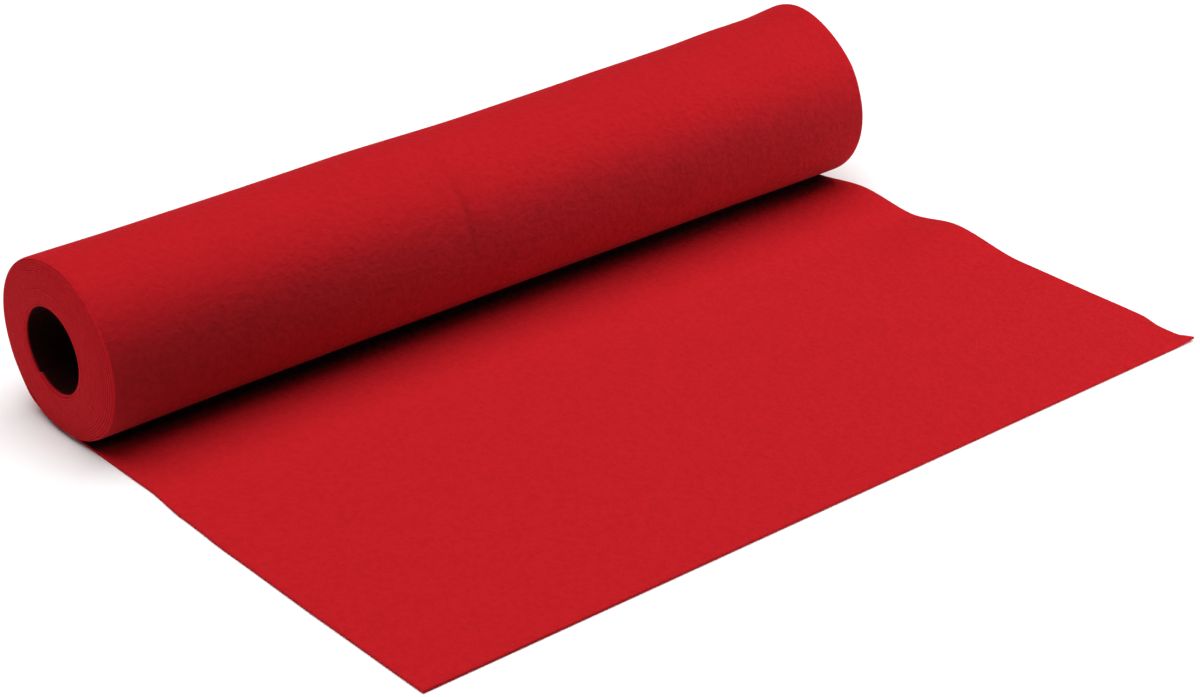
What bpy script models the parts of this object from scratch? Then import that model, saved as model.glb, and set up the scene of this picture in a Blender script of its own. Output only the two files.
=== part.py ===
"""Roll of felt: one cut length wound on itself with no core, lying on its own loose end.

The roll's axis runs along X, the loose end runs out towards -Y, and +Z is up. The origin is on the
surface that the felt lies on, midway along the roll and under its axis. Lengths are in metres, and
angles in degrees around the roll's axis, from +Y (the back) up towards +Z.
"""
import math

import bmesh
import bpy
from mathutils import Matrix, Vector

# The felt
CUT_WIDTH = 0.450
FELT = 0.0012
CLEARANCE = 0.0003

# The roll: an oval, because it sags under its own weight
ROLL_HALF_WIDTH = 0.0454
ROLL_HALF_HEIGHT = 0.0419
ROLL_TAPER = 0.0003
WAIST = 0.0005
WAIST_X = -0.03
WAIST_HALF_LENGTH = 0.19
AXIS_HEIGHT = 0.0428
BORE_HALF_WIDTH = 0.0213
BORE_HALF_HEIGHT = 0.0204

# The small flat spot that the roll rests on, and how far round it the skin settles towards it
FLAT_SPOT_HEIGHT = FELT + CLEARANCE
FLAT_SPOT_ANGLE = -90.0
FLAT_SPOT_SINK = 0.0005
SETTLE_SPREAD = 44.0

# Where the felt's outer turn leaves the roll, and where its inner end lies in the bore
LEAVE_ANGLE = -45.0
INNER_END_ANGLE = -50.0
STEP_WIDTH = 0.6
OUTER_STEP = FELT + CLEARANCE
COLUMN_PITCH = 3.75

# Ends of the roll: the middle of the winding stands out a little further than its skin
NEAR_END_X = -0.2250
FAR_END_X = 0.2245
BORE_STATIONS = (0.150, 0.0, -0.150)
SKIN_STATIONS = (-0.2175, -0.205, -0.170, -0.120, -0.070, -0.040, -0.034, -0.028, -0.022, -0.016, -0.010,
                 0.030, 0.080, 0.130, 0.165, 0.185, 0.198, 0.208, 0.2155)

# Share of the wall from bore to skin, and how far the end face lies in from its furthest point there
END_FACE = (
    (0.000, 0.0006),
    (0.060, 0.0000),
    (0.350, 0.0003),
    (0.680, 0.0010),
    (0.900, 0.0019),
    (0.975, 0.0028),
    (1.000, 0.0042),
)

# The skin flares at the top of the far end
FLARE = 0.0034
FLARE_ANGLE = 78.0
FLARE_SPREAD = 62.0
FLARE_LENGTH = 0.034
FLARE_REACH = 0.0018

# Near both ends the skin bulges a little, low on the front
BULGE = 0.0010
BULGE_ANGLE = 205.0
BULGE_SPREAD = 60.0
BULGE_LENGTH = 0.100

# A soft crease runs round the front of the roll near its middle, leaning a little
CREASE_DEPTH = 0.0006
CREASE_X = -0.027
CREASE_LEAN = 0.009
CREASE_ANGLE = 150.0
CREASE_SPREAD = 75.0
CREASE_HALF_LENGTH = 0.009

# The loose end: the flat stretch on the surface, then the slack tail that rises to the roll's back
FRONT_Y = -0.2648
FRONT_SKEW = 0.0026
FLAT_END_Y = 0.004
TAIL_ROWS = 9
TAIL_SLACK = 0.019
TAIL_RISE = 0.0090
TAIL_STAND_OFF = 0.0004
TAIL_TURN = 15.0
FLAT_ROWS = (1.0, 0.990, 0.970, 0.932, 0.890, 0.810, 0.715, 0.620, 0.570, 0.532, 0.505, 0.479, 0.452, 0.426,
             0.400, 0.373, 0.347, 0.320, 0.294, 0.264, 0.234, 0.204, 0.173, 0.143, 0.113, 0.083, 0.057, 0.023,
             -0.010, -0.030)
COLUMNS = (-1.0, -0.96, -0.70, -0.35, 0.0, 0.30, 0.50, 0.64, 0.72, 0.79, 0.85, 0.90, 0.94, 0.975, 1.0)

# Side edges of the loose end: distance in front of the roll's axis, and the edge's x there
LEFT_EDGE = (
    (-0.031, -0.2216),
    (-0.012, -0.2204),
    (0.064, -0.2206),
    (0.095, -0.2230),
    (0.130, -0.2241),
    (0.200, -0.2250),
    (0.2648, -0.2253),
)
RIGHT_EDGE = (
    (-0.031, 0.2214),
    (0.012, 0.2218),
    (0.048, 0.2230),
    (0.114, 0.2243),
    (0.180, 0.2246),
    (0.232, 0.2252),
    (0.247, 0.2226),
    (0.256, 0.2229),
    (0.2648, 0.2256),
)

# Ripples of the right edge: distance in front of the axis of the crest, its length on the roll's side
# and on the front side, its height, and how far in from the edge it fades out
RIPPLES = (
    (0.048, 0.038, 0.034, 0.0032, 0.055),
    (0.111, 0.030, 0.044, 0.0044, 0.075),
    (0.2648, 0.008, 0.010, 0.0008, 0.012),
)

HALF_WIDTH = CUT_WIDTH / 2
FELT_RED = (0.52, 0.012, 0.018, 1.0)


def clear_scene():
    for obj in list(bpy.data.objects):
        bpy.data.objects.remove(obj, do_unlink=True)


def felt_material(name):
    """Matt, slightly fuzzy red felt."""
    material = bpy.data.materials.new(name)
    material.use_nodes = True
    shader = material.node_tree.nodes["Principled BSDF"]
    shader.inputs["Base Color"].default_value = FELT_RED
    shader.inputs["Roughness"].default_value = 0.95
    shader.inputs["Metallic"].default_value = 0.0
    return material


def smooth(t):
    """Ease from 0 to 1 as t goes from 0 to 1."""
    t = min(max(t, 0.0), 1.0)
    return t * t * (3.0 - 2.0 * t)


def hump(distance, before, after):
    """A smooth hump of height 1 that ends at before on its low side and after on its high side."""
    reach = after if distance > 0 else before
    return smooth(1.0 - abs(distance) / reach)


def angle_between(a, b):
    return (a - b + 180.0) % 360.0 - 180.0


def oval_radius(angle, half_width, half_height):
    c = math.cos(math.radians(angle)) / half_width
    s = math.sin(math.radians(angle)) / half_height
    return 1.0 / math.hypot(c, s)


def flare(x, angle):
    along = smooth((x - (FAR_END_X - FLARE_LENGTH)) / FLARE_LENGTH)
    return along * hump(angle_between(angle, FLARE_ANGLE), FLARE_SPREAD, FLARE_SPREAD)


def bulge(x, angle):
    near_an_end = smooth(1.0 - (HALF_WIDTH - abs(x)) / BULGE_LENGTH)
    return near_an_end * hump(angle_between(angle, BULGE_ANGLE), BULGE_SPREAD, BULGE_SPREAD)


def crease(x, angle):
    lean = CREASE_LEAN * smooth(angle_between(CREASE_ANGLE, angle) / CREASE_SPREAD)
    across = hump(x - CREASE_X - lean, CREASE_HALF_LENGTH, CREASE_HALF_LENGTH)
    return across * hump(angle_between(angle, CREASE_ANGLE), CREASE_SPREAD, CREASE_SPREAD)


def wound_radius(past, x):
    """Outer radius of the winding before it settles, past degrees beyond where the felt leaves it."""
    angle = LEAVE_ANGLE + past
    radius = oval_radius(angle, ROLL_HALF_WIDTH, ROLL_HALF_HEIGHT)
    radius += OUTER_STEP * (0.5 - past / 360.0) + ROLL_TAPER * x / HALF_WIDTH
    radius -= WAIST * hump(x - WAIST_X, WAIST_HALF_LENGTH, WAIST_HALF_LENGTH)
    radius += FLARE * flare(x, angle) + BULGE * bulge(x, angle)
    return radius - CREASE_DEPTH * crease(x, angle)


def skin_radius(past, x):
    """Outer radius of the winding, let down at the bottom so that it rests along its whole length."""
    lowest = AXIS_HEIGHT - FLAT_SPOT_HEIGHT + FLAT_SPOT_SINK
    settle = lowest - wound_radius(FLAT_SPOT_ANGLE - LEAVE_ANGLE + 360.0, x)
    from_bottom = angle_between(LEAVE_ANGLE + past, FLAT_SPOT_ANGLE)
    return wound_radius(past, x) + settle * hump(from_bottom, SETTLE_SPREAD, SETTLE_SPREAD)


def bore_radius(past):
    """Inner radius of the winding, with the step at the felt's inner end."""
    angle = LEAVE_ANGLE + past
    before_end = (INNER_END_ANGLE - angle) % 360.0
    return oval_radius(angle, BORE_HALF_WIDTH, BORE_HALF_HEIGHT) + FELT * (before_end / 360.0 - 0.5)


def roll_point(past, share, x):
    """A point of the roll: share 0 is the bore's wall and 1 is the skin."""
    angle = LEAVE_ANGLE + past
    inner = bore_radius(past)
    radius = inner + share * share * (skin_radius(past, x) - skin_radius(past, 0.0)) + share * (
        skin_radius(past, 0.0) - inner)
    y = radius * math.cos(math.radians(angle))
    z = AXIS_HEIGHT + radius * math.sin(math.radians(angle))
    return Vector((x, y, max(z, FLAT_SPOT_HEIGHT)))


def column_angles():
    """Angles past the leaving place, with a close pair at each of the two steps."""
    count = round(360.0 / COLUMN_PITCH)
    columns = [k * COLUMN_PITCH for k in range(count)]
    inner_end = (INNER_END_ANGLE - LEAVE_ANGLE) % 360.0
    columns += [inner_end + STEP_WIDTH, 360.0 - STEP_WIDTH]
    return sorted(columns)


def roll_profile(angle):
    """The wall's section at one angle as (share, x): near end, skin, far end, then back along the bore."""
    reach = FLARE_REACH * flare(FAR_END_X, angle)
    near = [(share, NEAR_END_X + inset) for share, inset in END_FACE]
    far = [(share, FAR_END_X - inset + reach * share) for share, inset in reversed(END_FACE)]
    skin = [(1.0, x) for x in SKIN_STATIONS]
    bore = [(0.0, x) for x in BORE_STATIONS]
    return near + skin + far + bore


def mesh_object(name, bm, collection, material):
    mesh = bpy.data.meshes.new(name)
    bm.to_mesh(mesh)
    bm.free()
    mesh.materials.append(material)
    obj = bpy.data.objects.new(name, mesh)
    collection.objects.link(obj)
    return obj


def shade_round(obj, sharp_angle):
    obj.data.shade_smooth()
    obj.data.set_sharp_from_angle(angle=math.radians(sharp_angle))


def make_roll(collection, material):
    """Loft the wall's section round the axis. The last column meets the first in the outer step."""
    bm = bmesh.new()
    columns = []
    for past in column_angles():
        profile = roll_profile(LEAVE_ANGLE + past)
        columns.append([bm.verts.new(roll_point(past, share, x)) for share, x in profile])
    for here, beyond in zip(columns, columns[1:] + columns[:1]):
        for k in range(len(here)):
            m = (k + 1) % len(here)
            bm.faces.new((here[k], here[m], beyond[m], beyond[k]))
    bmesh.ops.recalc_face_normals(bm, faces=bm.faces)
    roll = mesh_object("felt_roll", bm, collection, material)
    shade_round(roll, 40.0)
    return roll


def edge_at(table, distance):
    """The side edge's x at a distance in front of the axis, eased between the table's rows."""
    for (d0, x0), (d1, x1) in zip(table, table[1:]):
        if distance <= d1:
            return x0 + (x1 - x0) * smooth((distance - d0) / (d1 - d0))
    return table[-1][1]


def ripple_lift(distance, inward):
    """Height of the felt above the surface, for a place so far in from its right edge."""
    lift = 0.0
    for crest, roll_side, front_side, height, fade in RIPPLES:
        lift += height * hump(distance - crest, roll_side, front_side) * smooth(1.0 - inward / fade)
    return lift


def tail_end():
    """Underside of the felt where it joins the roll's skin, and the way it points there."""
    last = 360.0 - STEP_WIDTH
    on_roll = roll_point(last, 1.0, 0.0)
    along = (roll_point(last + STEP_WIDTH / 2, 1.0, 0.0) - roll_point(last - STEP_WIDTH / 2, 1.0, 0.0)).normalized()
    outward = Vector((0.0, along.z, -along.y))
    end = on_roll + outward * (OUTER_STEP + TAIL_STAND_OFF) - along * CLEARANCE
    return end, Matrix.Rotation(math.radians(TAIL_TURN), 3, "X") @ along


def tail_point(t):
    """Underside of the slack tail, from the surface (t = 0) up to the roll (t = 1)."""
    start = Vector((0.0, FLAT_END_Y, 0.0))
    end, along = tail_end()
    a = start + Vector((0.0, TAIL_SLACK, 0.0))
    b = end - along * TAIL_RISE
    s = 1.0 - t
    return s ** 3 * start + 3 * s * s * t * a + 3 * s * t * t * b + t ** 3 * end


def loose_end_rows():
    """Places along the felt from its front edge to the roll, as (y, z) of its underside."""
    flat = [(share * FRONT_Y, 0.0) for share in FLAT_ROWS]
    tail = [tail_point(k / TAIL_ROWS) for k in range(1, TAIL_ROWS + 1)]
    return flat + [(p.y, p.z) for p in tail]


def make_loose_end(collection, material):
    """A grid laid on the felt's underside, thickened upwards."""
    rows = loose_end_rows()
    bm = bmesh.new()
    bmesh.ops.create_grid(bm, x_segments=len(COLUMNS) - 1, y_segments=len(rows) - 1, size=1.0)
    for vert in bm.verts:
        column = round((vert.co.x + 1.0) / 2.0 * (len(COLUMNS) - 1))
        row = round((vert.co.y + 1.0) / 2.0 * (len(rows) - 1))
        y, z = rows[row]
        left, right = edge_at(LEFT_EDGE, -y), edge_at(RIGHT_EDGE, -y)
        x = left + (right - left) * (COLUMNS[column] + 1.0) / 2.0
        if y < 0.0:
            z += ripple_lift(-y, right - x)
            y *= 1.0 - FRONT_SKEW * x / HALF_WIDTH
        vert.co = Vector((x, y, z))
    bmesh.ops.recalc_face_normals(bm, faces=bm.faces)
    if sum(face.normal.z for face in bm.faces) > 0.0:
        bmesh.ops.reverse_faces(bm, faces=bm.faces)
    loose_end = mesh_object("felt_loose_end", bm, collection, material)
    thick = loose_end.modifiers.new("felt", "SOLIDIFY")
    thick.thickness = FELT
    thick.offset = -1.0
    thick.use_even_offset = True
    shade_round(loose_end, 40.0)
    return loose_end


def main():
    clear_scene()
    collection = bpy.data.collections.new("roll_of_felt")
    bpy.context.scene.collection.children.link(collection)
    make_roll(collection, felt_material("felt_roll"))
    make_loose_end(collection, felt_material("felt_loose_end"))


main()
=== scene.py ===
"""Looks of the roll of felt: one unbroken length of red needled felt, wound up with no core.

The roll's axis runs along X, the loose end runs out towards -Y, and +Z is up. Lengths are in metres,
and angles in degrees around the roll's axis, from +Y (the back) up towards +Z. A place on the wound
felt is given as past: the degrees wound beyond the place where the felt leaves the roll.
"""
import math

import bmesh
import bpy
from mathutils import Matrix, Vector, noise


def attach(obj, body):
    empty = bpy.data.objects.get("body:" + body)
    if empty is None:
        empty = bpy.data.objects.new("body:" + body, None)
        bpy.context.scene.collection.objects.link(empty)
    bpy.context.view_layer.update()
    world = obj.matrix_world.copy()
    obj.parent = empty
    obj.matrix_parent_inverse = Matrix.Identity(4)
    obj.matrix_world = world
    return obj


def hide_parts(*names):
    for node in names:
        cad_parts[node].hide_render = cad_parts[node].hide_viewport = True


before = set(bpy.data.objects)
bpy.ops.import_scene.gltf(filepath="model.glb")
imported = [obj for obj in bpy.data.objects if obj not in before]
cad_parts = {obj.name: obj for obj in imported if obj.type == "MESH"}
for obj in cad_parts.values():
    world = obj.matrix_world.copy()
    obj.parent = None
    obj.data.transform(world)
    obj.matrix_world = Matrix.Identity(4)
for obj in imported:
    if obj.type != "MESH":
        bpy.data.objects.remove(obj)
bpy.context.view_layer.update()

# The felt, as cut, and its thickness
CUT_WIDTH = 0.450
HALF_WIDTH = CUT_WIDTH / 2
FELT = 0.0012

# The roll: an oval, because it sags under its own weight. It is a little thicker at the far end and
# thinner round its middle
ROLL_HALF_WIDTH = 0.0454
ROLL_HALF_HEIGHT = 0.0419
ROLL_TAPER = 0.0003
WAIST = 0.0005
WAIST_X = -0.03
WAIST_HALF_LENGTH = 0.19
AXIS_HEIGHT = 0.0428
BORE_HALF_WIDTH = 0.0213
BORE_HALF_HEIGHT = 0.0204

# The small flat spot that the roll rests on, and how far round it the skin settles towards it
FLAT_SPOT_HEIGHT = 0.0015
FLAT_SPOT_ANGLE = -90.0
FLAT_SPOT_SINK = 0.0005
SETTLE_SPREAD = 44.0

# The winding: where the felt leaves the roll, where it ends in the bore, its whole turns between, and the
# share of its room that each turn fills
LEAVE_ANGLE = -45.0
INNER_END_ANGLE = -50.0
WHOLE_TURNS = 18
WOUND = 360.0 * WHOLE_TURNS + (INNER_END_ANGLE - LEAVE_ANGLE) % 360.0
TURNS = WOUND / 360.0
TIGHTNESS = 0.985

# The mesh has its cuts across the wound felt this many degrees apart: on the outer turn, up to the third
# number of degrees past the felt's leaving, and further in
OUTER_PITCH = 3.0
INNER_PITCH = 5.0
FINE_UNTIL = 399.0

# Ends of the roll: share of the wall from bore to skin, and how far the turns' edges lie in there
NEAR_END_X = -0.2250
FAR_END_X = 0.2245
END_FACE = ((0.0, 0.0006), (0.06, 0.0), (0.35, 0.0003), (0.68, 0.0011), (0.88, 0.0021), (1.0, 0.0027))

# The wound felt's edges drift from turn to turn and wave within a turn: how far and how fast, where in the
# noise the far edge reads its drift, and the degrees over which both come up
EDGE_DRIFT = 0.00010
EDGE_WAVE = 0.00004
DRIFT_PACE = 1.9
WAVE_PACE = 3.0
FAR_DRIFT = Vector((0.0, 7.0, 0.0))
EDGE_COMES_UP = 60.0

# At the near end the outer turns lean out a little at the top of the back
LEAN_OUT = 0.0010
LEAN_OUT_ANGLE = 45.0
LEAN_OUT_SPREAD = 65.0

# The felt's cut edges are rounded: how far in the rounding starts on the loose end, where the turns
# press together, and on the outer turn, whose soft rounding takes up its whole thickness
EDGE_ROUNDING = 0.00024
PRESSED_ROUNDING = 0.00012
NEAR_RIM_ROUNDING = 0.0024
FAR_RIM_ROUNDING = 0.0012

# Degrees past the felt's leaving: where the turns begin to press together, over how many degrees the
# outer turn's soft rim comes up, and where and over how many it dies out
PRESSED_FROM = 200.0
RIM_COMES_UP = 40.0
RIM_END = 400.0
RIM_DIES_OUT = 80.0

# The mesh's points on a rounded edge, as shares of the thickness
EDGE_STEPS = (0.08, 0.26, 0.5, 0.74, 0.92)

# The cuts that round the felt's front edge and its inner end: how far each face is drawn in, as a share of
# the thickness, and how far past the last plain cut this lies, as a share of the rounding
END_CUTS = ((0.0, 0.0), (0.08, 0.58), (0.26, 0.90))

# The roll's top is a little higher or lower along its length: x, and the change there
TOP_LEVELS = (
    (-0.225, 0.0),
    (-0.175, -0.0004),
    (-0.125, -0.0003),
    (-0.055, 0.0005),
    (0.020, -0.0007),
    (0.060, -0.0006),
    (0.105, -0.0002),
    (0.145, 0.0),
    (0.186, 0.0012),
    (0.205, 0.0013),
    (0.225, 0.0005),
)
TOP_ANGLE = 75.0
TOP_SPREAD = 85.0

# The skin flares at the top of the far end
FLARE = 0.0034
FLARE_ANGLE = 82.0
FLARE_SPREAD = 56.0
FLARE_LENGTH = 0.022

# How far the outer turns reach out at the far end: angle, and the reach there
FAR_REACH = ((0.0, 0.0), (70.0, 0.0011), (108.0, 0.0004), (143.0, 0.0009), (165.0, 0.0))

# Near both ends the skin bulges a little, low on the front
BULGE = 0.0010
BULGE_ANGLE = 205.0
BULGE_SPREAD = 60.0
BULGE_LENGTH = 0.100

# A soft crease runs round the front of the roll near its middle, with a narrow line of painted shade in it
CREASE_DEPTH = 0.0008
CREASE_X = -0.026
CREASE_ANGLE = 150.0
CREASE_SPREAD = 55.0
CREASE_HALF_LENGTH = 0.007
CREASE_LINE = 0.0030
CREASE_LINE_SHADE = 0.80

# The loose end: the flat stretch on the surface, then the slack tail that rises to the roll's back
FRONT_Y = -0.2644
FRONT_SKEW = 0.0026
FLAT_END_Y = 0.004
FLAT_SECTIONS = 80
TAIL_SECTIONS = 16
TAIL_SLACK = 0.019
TAIL_RISE = 0.0090
TAIL_STAND_OFF = 0.0004
TAIL_TURN = 15.0

# How often, and how many cuts to each side, the felt's kink where the tail meets the roll is rounded
JOIN_PASSES = 6
JOIN_REACH = 3

# Side edges of the loose end: distance in front of the roll's axis, and the edge's x there
LEFT_EDGE = (
    (-0.031, -0.2208),
    (-0.012, -0.2204),
    (0.064, -0.2207),
    (0.095, -0.2231),
    (0.130, -0.2243),
    (0.200, -0.2252),
    (0.2648, -0.2255),
)
RIGHT_EDGE = (
    (-0.031, 0.2214),
    (0.012, 0.2220),
    (0.048, 0.2235),
    (0.114, 0.2247),
    (0.180, 0.2251),
    (0.232, 0.2257),
    (0.247, 0.2230),
    (0.256, 0.2231),
    (0.2648, 0.2257),
)

# Ripples of the right edge: distance in front of the axis of the crest, its length on the roll's side
# and on the front side, its height, and how far in from the edge it fades out
RIPPLES = (
    (0.048, 0.038, 0.034, 0.0035, 0.055),
    (0.113, 0.032, 0.042, 0.0047, 0.075),
    (0.2648, 0.008, 0.010, 0.0008, 0.012),
)

# Slow unevenness of the felt's surface. On the loose end it begins at this y and comes up over this length
# in front of it. On the outer turn it begins this many degrees past the felt's leaving, and comes up and
# dies out over the second number of degrees. Above the flat spot it comes up over this height
UNEVEN_HEIGHT = 0.00016
UNEVEN_LENGTH = 0.034
UNEVEN_FROM_Y = -0.050
UNEVEN_FADE_Y = 0.060
UNEVEN_FROM = 10.0
UNEVEN_FADE = 30.0
UNEVEN_CLEAR = 0.010

# Places across the felt's width, from -1 at its left edge to 1 at its right edge: those of the inner
# turns, and between them the finer ones of the outer turn and the loose end
COARSE = (-1.0, -0.99, -0.78, -0.50, -0.18, -0.04, 0.30, 0.60, 0.85, 0.99, 1.0)
FINE_STEP = 0.0052
CREASE_STEP = 0.0018
EDGE_SUPPORT = 0.0010

# Reds of the felt's raised places and of the hollows between them: its own, and then darker reds of
# painted shade for the roll's shaded side
FELT_RED = (0.465, 0.0090, 0.0140, 1.0)
FELT_DEEP_RED = (0.430, 0.0078, 0.0122, 1.0)
PAINTED_SHADE_RED = (0.385, 0.0105, 0.0155, 1.0)
PAINTED_SHADE_DEEP_RED = (0.325, 0.0088, 0.0130, 1.0)

# How the felt takes light, as values of the shader's own sockets
FELT_SURFACE = {
    "Roughness": 0.95,
    "Specular IOR Level": 0.06,
    "Sheen Weight": 0.05,
    "Sheen Roughness": 0.55,
    "Sheen Tint": (1.0, 0.16, 0.18, 1.0),
}

# The felt's texture: noises for its blotches, its fibres and its slow changes of tint, in cells to the
# metre. The reds are mixed by the blotches' noise plus this share of the tint's: the hollows' red up to
# the first sum, the raised red from the second. Fibres and blotches also stand out, by these heights
MOTTLE_SCALE = 310.0
FIBRE_SCALE = 1500.0
TINT_SCALE = 60.0
TINT_SHARE = 0.25
DEEP_UNTIL = 0.45
RAISED_FROM = 0.75
FIBRE_RELIEF = 0.00006
MOTTLE_RELIEF = 0.00080

# Three measures tell the material where on the felt it is. The first is the distance from the roll's axis,
# in half sizes of the bore: the bore up to the first number, the roll from the second to the third, and
# the loose end from the fourth. What lies right under the roll counts as the roll
BORE_EDGE = 1.04
BORE_WALL = 1.06
ROLL_WITHIN = 2.25
SHEET_FROM = 2.45

# The second is the sideways share of the surface's direction: up to the first number the felt's faces,
# and from the second the roll's ends and the felt's edges
SIDEWAYS_FROM = 0.15
SIDEWAYS_TO = 0.60

# The third is the height from the roll's axis, in half heights of the bore: the loose end up to the first
# number and the roll from the second, and in the bore its low part up to the third number and its upper
# part from the fourth. A scale along the axis this large takes x out of the first measure
SHEET_HEIGHT = -1.85
SKIN_HEIGHT = -1.55
BORE_LOW_HEIGHT = -0.75
BORE_TOP_HEIGHT = 0.25
LENGTH_SCALE = 1.0e6

# The share of the sky that is open to the felt, within this reach, is measured with this many rays. On the
# roll's skin the painted shade, a darker red, is full up to the first share and gone from the second
SKY_REACH = 0.12
SKY_RAYS = 12
SHADE_FULL = 0.93
SHADE_OPEN = 1.00

# Painted shade: in a crevice, and in the bore, the felt's colour goes to this red, nearly black. Each pair
# is the open share up to which this is full and the share where it ends: on the loose end, on the roll,
# and in the bore, where the first share is smaller low down
CREVICE_SHADE_RED = (0.009, 0.0003, 0.0005, 1.0)
WEDGE_DARK = 0.12
WEDGE_OPEN = 0.255
SKIN_DARK = 0.02
SKIN_OPEN = 0.16
BORE_DARK = 0.80
BORE_LOW_DARK = 0.50
BORE_OPEN = 1.00

# Painted shade on the roll's front: its brightness at the left and the right, and the x of each. This
# shade is full up to the first upward share of the surface's direction, and fades towards the second
LEFT_SHADE = 0.62
RIGHT_SHADE = 0.94
LEFT_SHADE_X = -0.25
RIGHT_SHADE_X = 0.03
TILT_FULL = 0.35
TILT_OPEN = 1.08

# The crease's line of painted shade comes up over these upward shares
LINE_FROM = -0.1
LINE_FULL = 0.3

# Low on the front the felt's colour is lifted again, painted light for the light that the loose end throws
# back: how much, and the upward shares where this is full and where it ends
LOW_LIFT = 1.28
LIFT_FULL = -0.60
LIFT_FROM = 0.25

# Brightness of the painted shadow in the core of the wedge under the roll. The core begins between the
# first two y, ends past the third y and above the height, and fades out over the last length
DEEP_SHADE = 0.08
DEEP_FROM_Y = -0.0250
DEEP_Y = -0.0175
DEEP_END_Y = 0.0120
DEEP_HEIGHT = 0.0080
DEEP_FADE = 0.0080

# Backward share of the surface's direction: the front's painted shade and light and the core's painted
# shadow are full up to the first number, and gone from the second
FRONT_UNTIL = 0.0
BACK_FROM = 0.5

# The floor: half its size, how far it lies under the felt, and its finish
FLOOR_HALF_SIZE = 8.0
FLOOR_DROP = 0.0002
FLOOR_SURFACE = {"Base Color": (0.94, 0.94, 0.94, 1.0), "Roughness": 0.9, "Specular IOR Level": 0.1}

# The lights: strengths, and the angles that soften the first two. The side light is turned by these
# angles from straight down, and the window is a rectangle that faces its aim
OVERHEAD_STRENGTH = 3.42
OVERHEAD_SPREAD = 62.0
SIDE_STRENGTH = 0.25
SIDE_SPREAD = 20.0
SIDE_TURN = (0.0, -62.0, 18.0)
WINDOW_STRENGTH = 2.2
WINDOW_SIZE = (0.30, 0.16)
WINDOW_PLACE = Vector((0.70, -0.58, 0.14))
WINDOW_AIM = Vector((0.1, 0.0, 0.04))
ROOM_STRENGTH = 0.05

# The camera
CAMERA_TARGET = Vector((0.0107, -0.0896, 0.0))
CAMERA_AZIMUTH = -39.879
CAMERA_ELEVATION = 27.426
CAMERA_ROLL = -0.376
CAMERA_DISTANCE = 1.4448
CAMERA_LENS = 93.29
CAMERA_SENSOR = 36.0
CAMERA_CLIP = (0.05, 30.0)


def smooth(t):
    """Ease from 0 to 1 as t goes from 0 to 1."""
    t = min(max(t, 0.0), 1.0)
    return t * t * (3.0 - 2.0 * t)


def hump(distance, before, after):
    """A smooth hump of height 1 that ends at before on its low side and after on its high side."""
    reach = after if distance > 0 else before
    return smooth(1.0 - abs(distance) / reach)


def angle_between(a, b):
    return (a - b + 180.0) % 360.0 - 180.0


def along_table(table, place):
    """Straight line between the rows of a table of (place, value)."""
    for (p0, v0), (p1, v1) in zip(table, table[1:]):
        if place <= p1:
            return v0 + (v1 - v0) * (max(place, p0) - p0) / (p1 - p0)
    return table[-1][1]


def eased(table, place):
    """Smooth steps between the rows of a table of (place, value)."""
    for (p0, v0), (p1, v1) in zip(table, table[1:]):
        if place <= p1:
            return v0 + (v1 - v0) * smooth((place - p0) / (p1 - p0))
    return table[-1][1]


def oval_radius(angle, half_width, half_height):
    c = math.cos(math.radians(angle)) / half_width
    s = math.sin(math.radians(angle)) / half_height
    return 1.0 / math.hypot(c, s)


def flare(x, angle):
    along = smooth((x - (FAR_END_X - FLARE_LENGTH)) / FLARE_LENGTH)
    return along * hump(angle_between(angle, FLARE_ANGLE), FLARE_SPREAD, FLARE_SPREAD)


def bulge(x, angle):
    near_an_end = smooth(1.0 - (HALF_WIDTH - abs(x)) / BULGE_LENGTH)
    return near_an_end * hump(angle_between(angle, BULGE_ANGLE), BULGE_SPREAD, BULGE_SPREAD)


def crease(x, angle):
    across = hump(x - CREASE_X, CREASE_HALF_LENGTH, CREASE_HALF_LENGTH)
    return across * hump(angle_between(angle, CREASE_ANGLE), CREASE_SPREAD, CREASE_SPREAD)


def turn_pitch(angle):
    """Room for each turn of the winding at this angle."""
    outer = oval_radius(angle, ROLL_HALF_WIDTH, ROLL_HALF_HEIGHT)
    return (outer - oval_radius(angle, BORE_HALF_WIDTH, BORE_HALF_HEIGHT)) / TURNS


def spiral_radius(past):
    """Radius of the felt's outer face in an even oval spiral."""
    angle = LEAVE_ANGLE + past
    pitch = turn_pitch(angle)
    bore = oval_radius(angle, BORE_HALF_WIDTH, BORE_HALF_HEIGHT)
    return bore + pitch * ((WOUND - past) / 360.0 + 0.5)


def wound_radius(past, x):
    """Radius of the outer turn's outer face before it settles."""
    angle = LEAVE_ANGLE + past
    radius = spiral_radius(past) + ROLL_TAPER * x / HALF_WIDTH
    radius -= WAIST * hump(x - WAIST_X, WAIST_HALF_LENGTH, WAIST_HALF_LENGTH)
    radius += eased(TOP_LEVELS, x) * hump(angle_between(angle, TOP_ANGLE), TOP_SPREAD, TOP_SPREAD)
    radius += FLARE * flare(x, angle) + BULGE * bulge(x, angle)
    return radius - CREASE_DEPTH * crease(x, angle)


def skin_change(past, x):
    """How far the outer turn departs from the even spiral, with its waist, flare and flat spot."""
    lowest = AXIS_HEIGHT - FLAT_SPOT_HEIGHT + FLAT_SPOT_SINK
    settle = lowest - wound_radius(FLAT_SPOT_ANGLE - LEAVE_ANGLE + 360.0, x)
    angle = LEAVE_ANGLE + past
    from_bottom = angle_between(angle, FLAT_SPOT_ANGLE)
    radius = wound_radius(past, x) + settle * hump(from_bottom, SETTLE_SPREAD, SETTLE_SPREAD)
    down = -math.sin(math.radians(angle))
    if radius * down > AXIS_HEIGHT - FLAT_SPOT_HEIGHT:
        radius = (AXIS_HEIGHT - FLAT_SPOT_HEIGHT) / down
    return radius - spiral_radius(past)


def share_at(past):
    """Share of the wall from the bore, 0, to the outer turn, 1."""
    return max(0.0, 1.0 - past / WOUND)


def felt_radius(past, x):
    """Radius of the felt's outer face. The skin's departures fade out towards the bore."""
    outermost = past % 360.0
    share = share_at(past - outermost)
    return spiral_radius(past) + share * share * skin_change(outermost, x)


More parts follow.
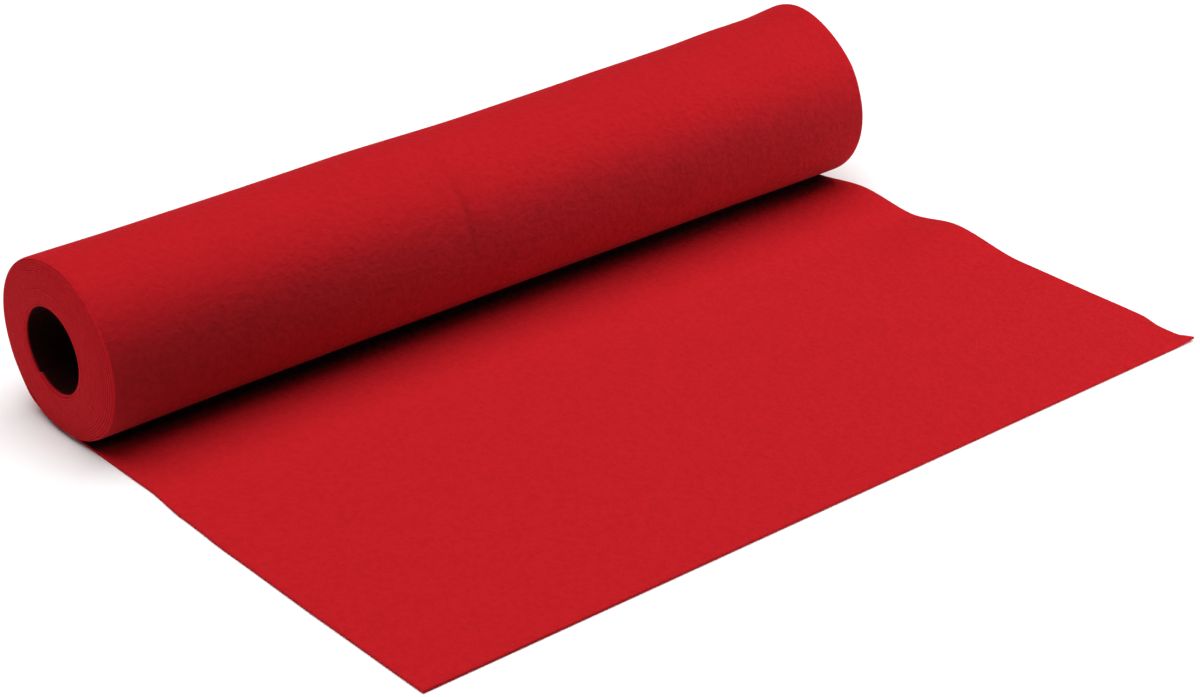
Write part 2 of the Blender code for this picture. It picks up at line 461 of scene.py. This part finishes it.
def wound_point(past, x):
    angle = math.radians(LEAVE_ANGLE + past)
    radius = felt_radius(past, x)
    return Vector((x, radius * math.cos(angle), AXIS_HEIGHT + radius * math.sin(angle)))


def wound_thickness(past, x):
    """The felt fills the room between its turns but for a hair's breadth."""
    if past + 360.0 > WOUND:
        return TIGHTNESS * turn_pitch(LEAVE_ANGLE + past)
    return min(FELT, TIGHTNESS * (felt_radius(past, x) - felt_radius(past + 360.0, x)))


def turn_edges(past):
    """The x of both edges of the wound felt. The turns don't lie quite in line."""
    turn = past / 360.0
    share = share_at(past)
    inset = along_table(END_FACE, share)
    drift = Vector((DRIFT_PACE * turn, 0.0, 0.0))
    around = Vector((math.cos(math.radians(past)), math.sin(math.radians(past)), turn))
    wave = EDGE_WAVE * noise.noise(WAVE_PACE * around)
    near = EDGE_DRIFT * noise.noise(drift) + wave
    far = EDGE_DRIFT * noise.noise(drift + FAR_DRIFT) + wave
    reach = eased(FAR_REACH, angle_between(LEAVE_ANGLE + past, 0.0)) * share
    from_lean = angle_between(LEAVE_ANGLE + past, LEAN_OUT_ANGLE)
    lean = LEAN_OUT * hump(from_lean, LEAN_OUT_SPREAD, LEAN_OUT_SPREAD) * share * share
    steady = smooth(past / EDGE_COMES_UP)
    return NEAR_END_X + inset - lean + near * steady, FAR_END_X - inset + reach + far * steady


def rim_share(past):
    """How far the outer turn's soft rim has come up here, from 0 to 1."""
    return smooth(past / RIM_COMES_UP) * smooth((RIM_END - past) / RIM_DIES_OUT)


def rounding_at(past, rim_rounding):
    """How far in from its edge the felt's outer face starts to round off."""
    plain = EDGE_ROUNDING if past < PRESSED_FROM else PRESSED_ROUNDING
    return plain + (rim_rounding - plain) * rim_share(past)


def quarter_round(t):
    """How far a quarter circle has dropped back at t of its radius."""
    t = min(max(t, 0.0), 1.0)
    return 1.0 - math.sqrt(1.0 - t * t)


def unevenness(x, along):
    """Slow ups and downs of the felt's surface, always outwards."""
    at = Vector((x / UNEVEN_LENGTH, along / UNEVEN_LENGTH, 0.0))
    return UNEVEN_HEIGHT * smooth(0.5 + 0.5 * noise.noise(at))


def ripple_lift(distance, inward):
    """Height of the felt above the surface, for a place so far in from its right edge."""
    lift = 0.0
    for crest, roll_side, front_side, height, fade in RIPPLES:
        lift += height * hump(distance - crest, roll_side, front_side) * smooth(1.0 - inward / fade)
    return lift


def fine_columns():
    """Places across the felt's width for the outer turn and the loose end, and which of them are coarse."""
    columns = [COARSE[0], COARSE[0] + EDGE_SUPPORT / HALF_WIDTH]
    kept = [0]
    for a, b in zip(COARSE, COARSE[1:]):
        at_crease = a * HALF_WIDTH < CREASE_X < b * HALF_WIDTH
        step = CREASE_STEP if at_crease else FINE_STEP
        start = columns[-1]
        end = b if b < 1.0 else b - EDGE_SUPPORT / HALF_WIDTH
        count = math.ceil((end - start) * HALF_WIDTH / step)
        columns += [start + (end - start) * k / count for k in range(1, count + 1)]
        if b == 1.0:
            columns.append(1.0)
        kept.append(len(columns) - 1)
    return columns, kept


def column_x(left, right, column):
    return left + (right - left) * (column + 1.0) / 2.0


class Section:
    """One cut across the felt: its outer face's points, its edges' rounding and its place along the felt."""

    def __init__(self, columns, points, thickness, roundings=(EDGE_ROUNDING, EDGE_ROUNDING), rim=0.0):
        self.columns = columns
        self.points = points
        self.thickness = thickness
        self.roundings = roundings
        self.rim = rim

    def edge_reach(self, share, rounding):
        """How far the edge stands out past the outer face's last point, at a share of the thickness."""
        outer_part = 0.5 + 0.5 * self.rim
        outer = rounding * quarter_round(1.0 - share / outer_part)
        inner = min(rounding, EDGE_ROUNDING) * quarter_round(2.0 * share - 1.0)
        return rounding - max(outer, inner)


def flat_section(y, columns):
    """The loose end's underside, which lies on the surface but for its ripples."""
    left, right = eased(LEFT_EDGE, -y), eased(RIGHT_EDGE, -y)
    points = []
    for column in columns:
        x = column_x(left + EDGE_ROUNDING, right - EDGE_ROUNDING, column)
        lift = 0.0
        if y < 0.0:
            lift = ripple_lift(-y, right - x)
            lift += unevenness(x, y) * smooth((UNEVEN_FROM_Y - y) / UNEVEN_FADE_Y)
        skew = 1.0 - FRONT_SKEW * x / HALF_WIDTH if y < 0.0 else 1.0
        points.append(Vector((x, y * skew, lift)))
    return Section(columns, points, [FELT] * len(columns))


def tail_curve(t):
    """Outer face of the slack tail, from the surface (t = 0) up to the roll (t = 1)."""
    start = Vector((0.0, FLAT_END_Y, 0.0))
    joined = wound_point(0.0, 0.0)
    along = (wound_point(1.0, 0.0) - joined).normalized()
    outward = Vector((0.0, along.z, -along.y))
    end = joined + outward * TAIL_STAND_OFF
    arriving = Matrix.Rotation(math.radians(TAIL_TURN), 3, "X") @ along
    a = start + Vector((0.0, TAIL_SLACK, 0.0))
    b = end - arriving * TAIL_RISE
    s = 1.0 - t
    return s ** 3 * start + 3 * s * s * t * a + 3 * s * t * t * b + t ** 3 * end


def tail_section(t, columns):
    base = tail_curve(t)
    left, right = eased(LEFT_EDGE, -base.y), eased(RIGHT_EDGE, -base.y)
    roll_left, roll_right = turn_edges(0.0)
    mix = smooth(t)
    turn_in = smooth(2.0 * t - 1.0)
    left, right = left + (roll_left - left) * turn_in, right + (roll_right - right) * turn_in
    middle = wound_point(0.0, 0.0)
    points = []
    for column in columns:
        x = column_x(left + EDGE_ROUNDING, right - EDGE_ROUNDING, column)
        change = wound_point(0.0, x) - middle
        points.append(Vector((x, base.y + change.y * mix, base.z + change.z * mix)))
    return Section(columns, points, [FELT] * len(columns))


def wound_section(past, columns):
    left, right = turn_edges(past)
    roundings = (rounding_at(past, NEAR_RIM_ROUNDING), rounding_at(past, FAR_RIM_ROUNDING))
    points, thickness = [], []
    on_skin = smooth((past - UNEVEN_FROM) / UNEVEN_FADE) * smooth((360.0 - past) / UNEVEN_FADE)
    for column in columns:
        x = column_x(left + roundings[0], right - roundings[1], column)
        point = wound_point(past, x)
        if on_skin > 0.0:
            out = Vector((0.0, point.y, point.z - AXIS_HEIGHT)).normalized()
            clear = smooth((point.z - 2.0 * FLAT_SPOT_HEIGHT) / UNEVEN_CLEAR)
            point += out * unevenness(x, math.radians(past) * ROLL_HALF_WIDTH) * on_skin * clear
        points.append(point)
        thickness.append(wound_thickness(past, x))
    return Section(columns, points, thickness, roundings, rim_share(past))


def soften_join(sections, joint):
    """Round the felt's kink where the slack tail meets the roll."""
    low, high = joint - JOIN_REACH, joint + JOIN_REACH
    for _ in range(JOIN_PASSES):
        before = [[p.copy() for p in s.points] for s in sections[low - 1:high + 2]]
        for k in range(low, high + 1):
            for j, point in enumerate(sections[k].points):
                around = before[k - low][j] + before[k - low + 2][j]
                point.y = (2.0 * point.y + around.y) / 4.0
                point.z = (2.0 * point.z + around.z) / 4.0


def felt_sections():
    """Every cut across the felt, from its front edge to its inner end in the bore."""
    columns, kept = fine_columns()
    coarse = [columns[k] for k in kept]
    sections = []
    for k in range(FLAT_SECTIONS + 1):
        sections.append(flat_section(FRONT_Y + (FLAT_END_Y - FRONT_Y) * k / FLAT_SECTIONS, columns))
    for k in range(1, TAIL_SECTIONS):
        sections.append(tail_section(k / TAIL_SECTIONS, columns))
    joint = len(sections)
    past = OUTER_PITCH
    while past < FINE_UNTIL:
        sections.append(wound_section(past, columns))
        past += OUTER_PITCH
    while past < WOUND - INNER_PITCH / 2:
        sections.append(wound_section(past, coarse))
        past += INNER_PITCH
    sections.append(wound_section(WOUND, coarse))
    soften_join(sections, joint)
    return sections, kept


def inward_normals(sections, index):
    """Directions from the felt's outer face to its inner face at one section, across its width."""
    here = sections[index]
    before = sections[max(index - 1, 0)]
    after = sections[min(index + 1, len(sections) - 1)]
    if len(before.points) != len(here.points):
        before = here
    if len(after.points) != len(here.points):
        after = here
    normals = []
    for a, b in zip(before.points, after.points):
        along = b - a
        normals.append(Vector((0.0, -along.z, along.y)).normalized())
    return normals


def ring_points(section, normals, shrink):
    """The section's closed outline: outer face, right edge, inner face, left edge. A shrink above 0 draws
    the two faces together, for the felt's rounded end."""
    thick = section.thickness
    outer = [p + n * (t * shrink) for p, n, t in zip(section.points, normals, thick)]
    inner = [p + n * (t * (1.0 - shrink)) for p, n, t in zip(section.points, normals, thick)]
    ring = list(outer)
    for share in EDGE_STEPS:
        reach = section.edge_reach(share, section.roundings[1])
        ring.append(outer[-1].lerp(inner[-1], share) + Vector((reach, 0.0, 0.0)))
    ring += reversed(inner)
    for share in reversed(EDGE_STEPS):
        reach = section.edge_reach(share, section.roundings[0])
        ring.append(outer[0].lerp(inner[0], share) - Vector((reach, 0.0, 0.0)))
    return ring


def bridge(bm, a, b, columns_a, columns_b, kept):
    """Faces between two rings. Where the second is coarser, its faces fan out to the finer columns."""
    edge = len(EDGE_STEPS)
    if columns_a == columns_b:
        pairs = [(a[k], a[(k + 1) % len(a)], b[(k + 1) % len(a)], b[k]) for k in range(len(a))]
    else:
        fine, coarse = columns_a, columns_b
        pairs = []
        for start_a, start_b, forward in ((0, 0, True), (fine + edge, coarse + edge, False)):
            for k in range(coarse - 1):
                first, last = kept[k], kept[k + 1]
                if not forward:
                    first, last = fine - 1 - kept[coarse - 1 - k], fine - 1 - kept[coarse - 2 - k]
                b0, b1 = b[start_b + k], b[start_b + k + 1]
                turn = (first + last) // 2
                for j in range(first, last):
                    pairs.append((a[start_a + j], a[start_a + j + 1], b0 if j < turn else b1))
                pairs.append((a[start_a + turn], b1, b0))
        for start_a, start_b in ((fine - 1, coarse - 1), (2 * fine + edge - 1, 2 * coarse + edge - 1)):
            for k in range(edge + 1):
                a0, a1 = a[start_a + k], a[(start_a + k + 1) % len(a)]
                b0, b1 = b[start_b + k], b[(start_b + k + 1) % len(b)]
                pairs.append((a0, a1, b1, b0))
    for corners in pairs:
        bm.faces.new(corners)


def cap(bm, ring, columns):
    """Close the felt's cut end."""
    edge = len(EDGE_STEPS)
    last = len(ring) - edge - 1
    for k in range(columns - 1):
        bm.faces.new((ring[k], ring[k + 1], ring[last - k - 1], ring[last - k]))
    bm.faces.new(ring[columns - 1:columns + edge + 1])
    bm.faces.new(ring[last:] + ring[:1])


def make_felt(material):
    """The whole length of felt as one closed mesh."""
    sections, kept = felt_sections()
    bm = bmesh.new()
    rings = []
    for index, section in enumerate(sections):
        normals = inward_normals(sections, index)
        if index in (0, len(sections) - 1):
            way = 1.0 if index else -1.0
            along = Vector((0.0, normals[0].z, -normals[0].y)) * way
            cuts = [(ring_points(section, normals, shrink), along * EDGE_ROUNDING * beyond)
                    for shrink, beyond in END_CUTS]
            if not index:
                cuts.reverse()
            rings += [(len(section.columns), [bm.verts.new(p + step) for p in ring]) for ring, step in cuts]
        else:
            ring = ring_points(section, normals, 0.0)
            rings.append((len(section.columns), [bm.verts.new(p) for p in ring]))
    for (count_a, a), (count_b, b) in zip(rings, rings[1:]):
        bridge(bm, a, b, count_a, count_b, kept)
    cap(bm, rings[0][1], rings[0][0])
    cap(bm, rings[-1][1], rings[-1][0])
    bmesh.ops.recalc_face_normals(bm, faces=bm.faces)
    mesh = bpy.data.meshes.new("felt")
    bm.to_mesh(mesh)
    bm.free()
    mesh.shade_smooth()
    mesh.materials.append(material)
    return add_object("felt", mesh)


def add_object(name, data):
    """A new object in the scene, made of this data."""
    added = bpy.data.objects.new(name, data)
    bpy.context.scene.collection.objects.link(added)
    return added


def new_material(name, surface):
    """A material whose shader has these values on its own sockets."""
    material = bpy.data.materials.new(name)
    material.use_nodes = True
    shader = material.node_tree.nodes["Principled BSDF"]
    for socket, value in surface.items():
        shader.inputs[socket].default_value = value
    return material, material.node_tree, shader


def add_node(tree, kind, **inputs):
    """A node with the named inputs set, and its node settings given as plain names."""
    node = tree.nodes.new(kind)
    for name, value in inputs.items():
        if hasattr(node, name):
            setattr(node, name, value)
        else:
            feed(tree, node.inputs[name.replace("_", " ")], value)
    return node


def feed(tree, socket, value):
    """Give a node's input its value: a number, a colour or what another node puts out."""
    if isinstance(value, bpy.types.NodeSocket):
        tree.links.new(value, socket)
    else:
        socket.default_value = value


def calculate(tree, operation, *values):
    """Arithmetic on values, each a number or what another node puts out."""
    node = add_node(tree, "ShaderNodeMath", operation=operation)
    for socket, value in zip(node.inputs, values):
        feed(tree, socket, value)
    return node.outputs[0]


def parts_of(tree, vector):
    """The X, Y and Z of a vector."""
    return tuple(add_node(tree, "ShaderNodeSeparateXYZ", Vector=vector).outputs)


def mix_colours(tree, share, first, second, blend="MIX"):
    """The first colour at a share of 0, and the second blended in at a share of 1."""
    node = add_node(tree, "ShaderNodeMix", data_type="RGBA", blend_type=blend, Factor=share, A=first,
                    B=second)
    return node.outputs["Result"]


def map_range(tree, value, low, high, to_low=0.0, to_high=1.0):
    """A smooth step of a value from low to high. Each end may be a number or what another node puts out."""
    node = add_node(tree, "ShaderNodeMapRange", interpolation_type="SMOOTHSTEP", Value=value, From_Min=low,
                    From_Max=high, To_Min=to_low, To_Max=to_high)
    return node.outputs["Result"]


def front_shade(tree, place, direction):
    """Painted shade and light on the roll's front, as a brightness: darker to the left and in the crease,
    lifted again low down for the light that the loose end throws back, and nearly black in the painted
    shadow in the core of the wedge under the roll."""
    x, y, z = parts_of(tree, place)
    _, back, up = direction
    from_crease = calculate(tree, "ABSOLUTE", calculate(tree, "SUBTRACT", x, CREASE_X))
    # Painted shade: a narrow darker line along the crease
    line = map_range(tree, up, LINE_FROM, LINE_FULL, 1.0, CREASE_LINE_SHADE)
    line = map_range(tree, from_crease, 0.0, CREASE_LINE, line, 1.0)
    left = map_range(tree, x, LEFT_SHADE_X, RIGHT_SHADE_X, LEFT_SHADE, RIGHT_SHADE)
    tilted = map_range(tree, up, TILT_FULL, TILT_OPEN, calculate(tree, "MULTIPLY", left, line), 1.0)
    # Painted light: the low front lifted, for light that the loose end throws back
    lift = map_range(tree, up, LIFT_FULL, LIFT_FROM, LOW_LIFT, 1.0)
    lifted = calculate(tree, "MULTIPLY", tilted, lift)
    # Painted shadow in the core of the wedge under the roll
    deep = map_range(tree, y, DEEP_FROM_Y, DEEP_Y, 1.0, DEEP_SHADE)
    deep = map_range(tree, y, DEEP_END_Y, DEEP_END_Y + DEEP_FADE, deep, 1.0)
    deep = map_range(tree, z, DEEP_HEIGHT, DEEP_HEIGHT + DEEP_FADE, deep, 1.0)
    return map_range(tree, back, FRONT_UNTIL, BACK_FROM, calculate(tree, "MULTIPLY", lifted, deep), 1.0)


def openness(tree, place, facing):
    """Three values for painted shade: from 0 on the roll's shaded side to 1 on its top, its ends and the
    loose end; from 0 where the felt is deep in a crevice to 1 where it lies open; and the painted
    brightness of the roll's front."""
    sky = add_node(tree, "ShaderNodeAmbientOcclusion", samples=SKY_RAYS, only_local=True,
                   Distance=SKY_REACH).outputs["AO"]
    from_axis = add_node(tree, "ShaderNodeMapping", vector_type="TEXTURE", Vector=place,
                         Location=(0.0, 0.0, AXIS_HEIGHT),
                         Scale=(LENGTH_SCALE, BORE_HALF_WIDTH, BORE_HALF_HEIGHT)).outputs["Vector"]
    distance = add_node(tree, "ShaderNodeVectorMath", operation="LENGTH", Vector=from_axis).outputs["Value"]
    height = parts_of(tree, from_axis)[2]
    direction = parts_of(tree, facing)
    sideways = calculate(tree, "ABSOLUTE", direction[0])

    def by_side(skin, end):
        return map_range(tree, sideways, SIDEWAYS_FROM, SIDEWAYS_TO, skin, end)

    def by_bore(inside, outside):
        return map_range(tree, distance, BORE_EDGE, BORE_WALL, inside, outside)

    not_skin = by_side(map_range(tree, distance, ROLL_WITHIN, SHEET_FROM), 1.0)
    # Painted shade on the roll's skin comes in where less of the sky is open
    sunny = map_range(tree, sky, SHADE_FULL, SHADE_OPEN, not_skin, 1.0)
    bore_dark = map_range(tree, height, BORE_LOW_HEIGHT, BORE_TOP_HEIGHT, BORE_LOW_DARK, BORE_DARK)
    wedge_dark = map_range(tree, height, SHEET_HEIGHT, SKIN_HEIGHT, WEDGE_DARK, SKIN_DARK)
    wedge_open = map_range(tree, height, SHEET_HEIGHT, SKIN_HEIGHT, WEDGE_OPEN, SKIN_OPEN)
    # Where the painted shade of crevices and the bore is full and where it ends
    dark = by_bore(by_side(bore_dark, wedge_dark), wedge_dark)
    light = by_bore(by_side(BORE_OPEN, wedge_open), wedge_open)
    front = by_side(front_shade(tree, place, direction), 1.0)
    return sunny, map_range(tree, sky, dark, light), front


def felt_material():
    """Needled felt: matted fibres with a soft, faintly lighter nap, uneven by a millimetre or two. Shade is
    painted into its colour on the roll's shaded side and front, in crevices, in the bore and under the roll.
    """
    material, tree, shader = new_material("felt_red", FELT_SURFACE)
    coordinates = add_node(tree, "ShaderNodeTexCoord")
    place = coordinates.outputs["Object"]
    mottle = add_node(tree, "ShaderNodeTexNoise", Vector=place, Scale=MOTTLE_SCALE, Detail=2.0,
                      Roughness=0.6).outputs["Fac"]
    fibre = add_node(tree, "ShaderNodeTexNoise", noise_type="RIDGED_MULTIFRACTAL", Vector=place,
                     Scale=FIBRE_SCALE, Detail=2.0, Roughness=0.5, Distortion=1.6).outputs["Fac"]
    tint = add_node(tree, "ShaderNodeTexNoise", Vector=place, Scale=TINT_SCALE, Detail=2.0,
                    Roughness=0.5).outputs["Fac"]
    tinted = calculate(tree, "ADD", mottle, calculate(tree, "MULTIPLY", tint, TINT_SHARE))
    raised = add_node(tree, "ShaderNodeMapRange", Value=tinted, From_Min=DEEP_UNTIL,
                      From_Max=RAISED_FROM).outputs["Result"]
    colour = mix_colours(tree, raised, FELT_DEEP_RED, FELT_RED)
    # Painted shade: darker copies of the felt's reds for the roll's shaded side
    shade = mix_colours(tree, raised, PAINTED_SHADE_DEEP_RED, PAINTED_SHADE_RED)
    sunny, out_of_crevice, front = openness(tree, place, coordinates.outputs["Normal"])
    # Painted shade: the darker reds on the roll's shaded side, the felt's own reds elsewhere
    painted_shade_colour = mix_colours(tree, sunny, shade, colour)
    # Painted shade and light on the roll's front
    front_painted_colour = mix_colours(tree, 1.0, painted_shade_colour, front, "MULTIPLY")
    # Painted shade: nearly black in crevices, in the bore and in the wedge under the roll
    feed(tree, shader.inputs["Base Color"], mix_colours(tree, out_of_crevice, CREVICE_SHADE_RED, front_painted_colour))
    relief = add_node(tree, "ShaderNodeBump", Strength=1.0, Distance=MOTTLE_RELIEF, Height=mottle)
    relief = add_node(tree, "ShaderNodeBump", Strength=1.0, Distance=FIBRE_RELIEF, Height=fibre,
                      Normal=relief.outputs["Normal"])
    feed(tree, shader.inputs["Normal"], relief.outputs["Normal"])
    return material


def make_floor():
    """A plain white floor under the felt."""
    mesh = bpy.data.meshes.new("floor")
    bm = bmesh.new()
    bmesh.ops.create_grid(bm, x_segments=1, y_segments=1, size=FLOOR_HALF_SIZE)
    bm.to_mesh(mesh)
    bm.free()
    mesh.materials.append(new_material("floor_white", FLOOR_SURFACE)[0])
    floor = add_object("floor", mesh)
    floor.location.z = -FLOOR_DROP


def add_light(name, kind, strength):
    light = bpy.data.lights.new(name, kind)
    light.energy = strength
    return light, add_object(name, light)


def make_light():
    """A wide soft light overhead, a weak one from the left, a window on the right and a dim white room."""
    overhead, _ = add_light("overhead", "SUN", OVERHEAD_STRENGTH)
    overhead.angle = math.radians(OVERHEAD_SPREAD)
    side, lamp = add_light("side", "SUN", SIDE_STRENGTH)
    side.angle = math.radians(SIDE_SPREAD)
    lamp.rotation_euler = [math.radians(a) for a in SIDE_TURN]
    window, lamp = add_light("window", "AREA", WINDOW_STRENGTH)
    window.shape = "RECTANGLE"
    window.size, window.size_y = WINDOW_SIZE
    lamp.location = WINDOW_PLACE
    lamp.rotation_euler = (WINDOW_AIM - WINDOW_PLACE).to_track_quat("-Z", "Y").to_euler()
    room = bpy.data.worlds.new("room")
    room.use_nodes = True
    background = room.node_tree.nodes["Background"]
    background.inputs["Color"].default_value = (1.0, 1.0, 1.0, 1.0)
    background.inputs["Strength"].default_value = ROOM_STRENGTH
    bpy.context.scene.world = room


def make_camera():
    """The photo's camera."""
    azimuth, elevation, roll = (math.radians(a) for a in (CAMERA_AZIMUTH, CAMERA_ELEVATION, CAMERA_ROLL))
    back = Vector((math.sin(azimuth) * math.cos(elevation), -math.cos(azimuth) * math.cos(elevation),
                   math.sin(elevation)))
    right = Vector((math.cos(azimuth), math.sin(azimuth), 0.0))
    up = back.cross(right)
    across = right * math.cos(roll) + up * math.sin(roll)
    upright = up * math.cos(roll) - right * math.sin(roll)
    place = CAMERA_TARGET + back * CAMERA_DISTANCE
    camera = bpy.data.cameras.new("camera")
    camera.lens = CAMERA_LENS
    camera.sensor_width = CAMERA_SENSOR
    camera.clip_start, camera.clip_end = CAMERA_CLIP
    holder = add_object("camera", camera)
    holder.matrix_world = Matrix.Translation(place) @ Matrix((across, upright, back)).transposed().to_4x4()
    bpy.context.scene.camera = holder


make_camera()
make_light()
make_floor()
felt = make_felt(felt_material())
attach(felt, "root")
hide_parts("felt_roll", "felt_loose_end")
bpy.context.scene.view_settings.view_transform = "Standard"
